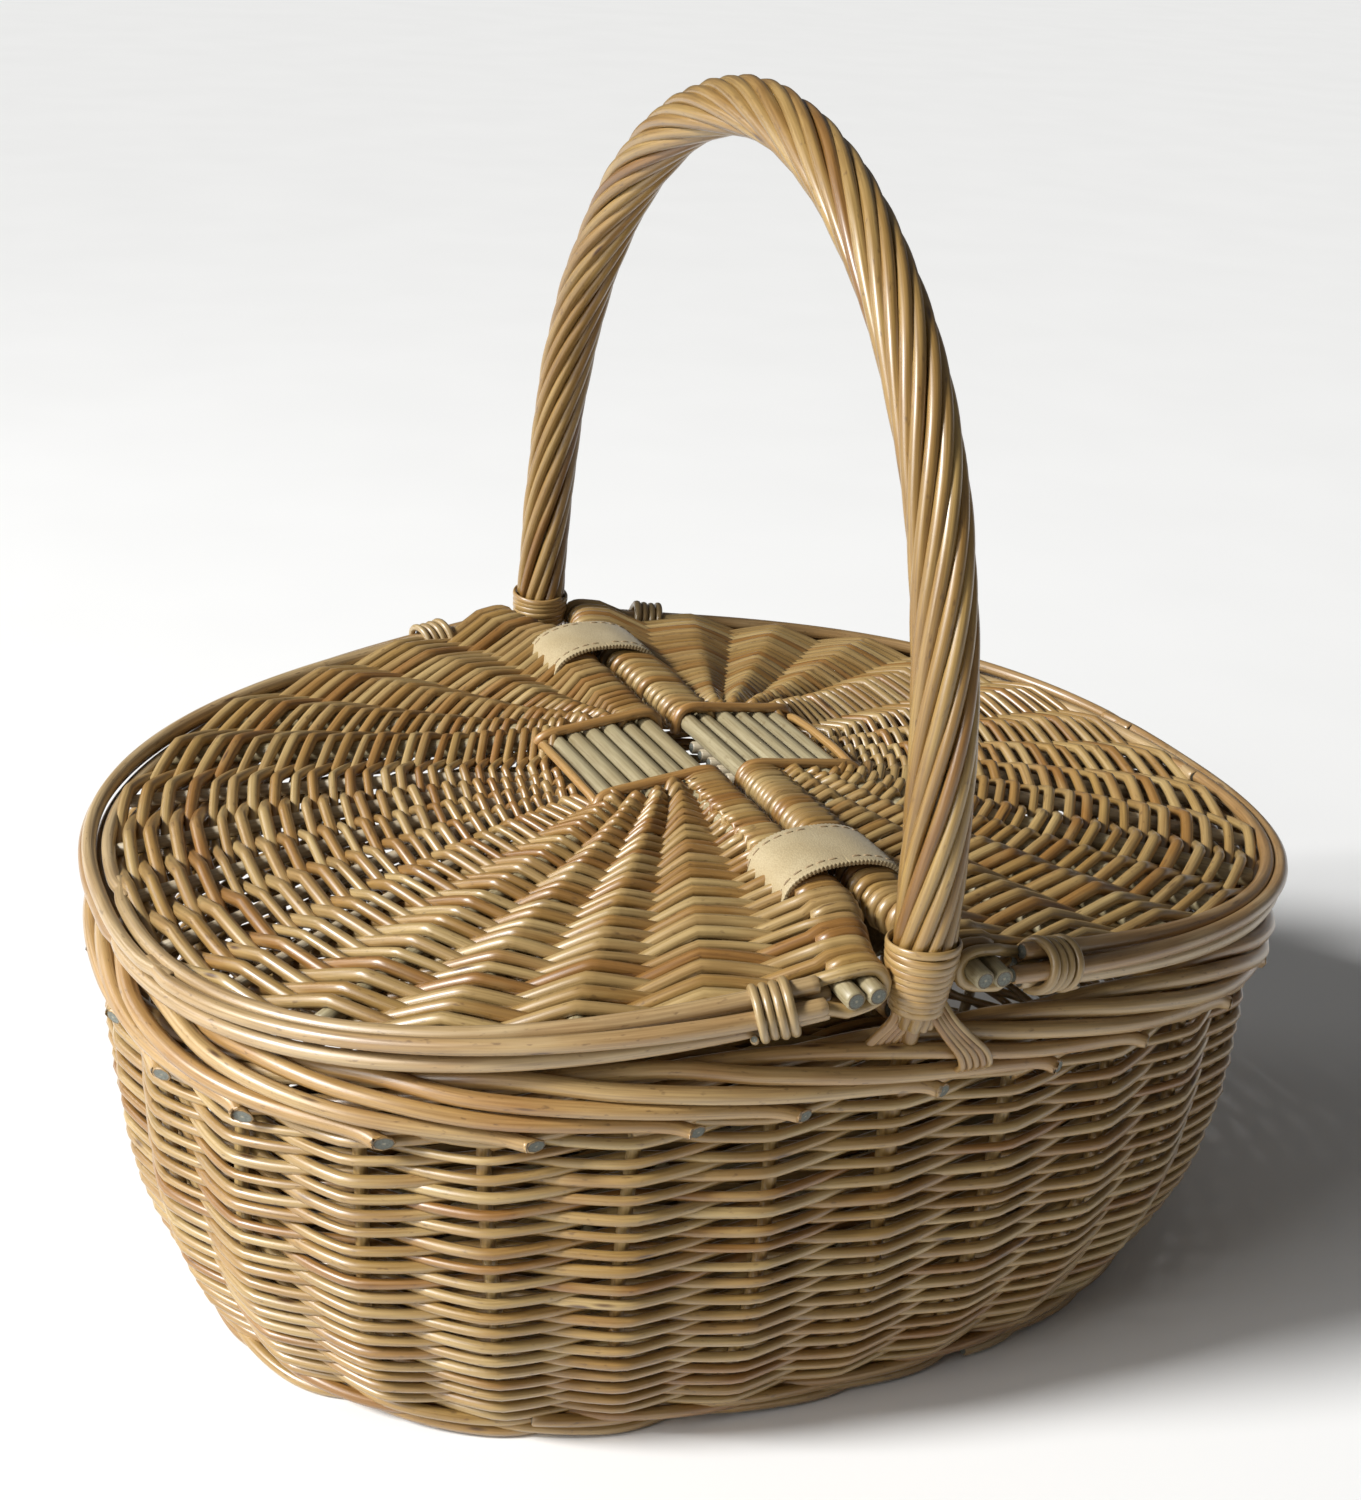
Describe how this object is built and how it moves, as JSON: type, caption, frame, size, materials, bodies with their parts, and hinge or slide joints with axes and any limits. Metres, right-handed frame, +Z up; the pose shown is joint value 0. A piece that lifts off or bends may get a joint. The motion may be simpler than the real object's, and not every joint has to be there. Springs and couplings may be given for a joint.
{
  "type": "picnic basket",
  "caption": "Oval woven willow picnic basket with a fixed roped bow handle over the middle and half-oval lids that swing up beside it on leather loops.",
  "frame": {"origin": "centre of the bounding box's underside, on the floor below the middle of the basket", "axes": "+X along the long axis towards the right-hand lid, +Y along the short axis and the handle's span, +Z up"},
  "size_m": [0.4478, 0.3696, 0.4369],
  "materials": {
    "woven_willow": "satin",
    "border_willow": "satin",
    "peeled_willow": "satin",
    "tie_willow": "satin",
    "handle_willow": "satin",
    "leather": "matte"
  },
  "bodies": {
    "basket": {"base_long_stick_1": "border_willow", "base_long_stick_2": "border_willow", "base_long_stick_3": "border_willow", "base_short_stick_1": "border_willow", "base_short_stick_2": "border_willow", "base_short_stick_3": "border_willow", "base_short_stick_4": "border_willow", "base_short_stick_5": "border_willow", "base_weave": "woven_willow", "cross_bar": "border_willow", "foot_wale": "woven_willow", "handle_binding_back": "handle_willow", "handle_binding_front": "handle_willow", "handle_bow": "handle_willow", "handle_lashing_back": "handle_willow", "handle_lashing_front": "handle_willow", "handle_roping": "handle_willow", "hinge_strap_back": "leather", "hinge_strap_front": "leather", "rim_border_inner": "border_willow", "rim_border_outer": "border_willow", "side_weave": "woven_willow"},
    "lid_left": {"lid_left_border": "border_willow", "lid_left_cross_stick_1": "peeled_willow", "lid_left_cross_stick_2": "peeled_willow", "lid_left_cross_stick_3": "peeled_willow", "lid_left_cross_stick_4": "peeled_willow", "lid_left_cross_stick_5": "peeled_willow", "lid_left_edge_stick_inner": "peeled_willow", "lid_left_edge_stick_outer": "peeled_willow", "lid_left_lashing_back": "border_willow", "lid_left_lashing_front": "border_willow", "lid_left_panel": "woven_willow", "lid_left_slath_stick_1": "peeled_willow", "lid_left_slath_stick_2": "peeled_willow", "lid_left_slath_stick_3": "peeled_willow", "lid_left_slath_stick_4": "peeled_willow", "lid_left_tie_back": "tie_willow", "lid_left_tie_front": "tie_willow", "lid_left_tie_outer": "tie_willow"},
    "lid_right": {"lid_right_border": "border_willow", "lid_right_cross_stick_1": "peeled_willow", "lid_right_cross_stick_2": "peeled_willow", "lid_right_cross_stick_3": "peeled_willow", "lid_right_cross_stick_4": "peeled_willow", "lid_right_cross_stick_5": "peeled_willow", "lid_right_edge_stick_inner": "peeled_willow", "lid_right_edge_stick_outer": "peeled_willow", "lid_right_lashing_back": "border_willow", "lid_right_lashing_front": "border_willow", "lid_right_panel": "woven_willow", "lid_right_slath_stick_1": "peeled_willow", "lid_right_slath_stick_2": "peeled_willow", "lid_right_slath_stick_3": "peeled_willow", "lid_right_slath_stick_4": "peeled_willow", "lid_right_tie_back": "tie_willow", "lid_right_tie_front": "tie_willow", "lid_right_tie_outer": "tie_willow"}
  },
  "joints": [
    {"name": "lid_left_hinge", "type": "hinge", "parent": "basket", "child": "lid_left", "pos_m": [-0.022, 0, 0.186], "axis": [0, 1, 0], "range_deg": [0, 96], "deforming": ["hinge_strap_back", "hinge_strap_front"]},
    {"name": "lid_right_hinge", "type": "hinge", "parent": "basket", "child": "lid_right", "pos_m": [0.022, 0, 0.186], "axis": [0, -1, 0], "range_deg": [0, 94], "deforming": ["hinge_strap_back", "hinge_strap_front"]}
  ]
}
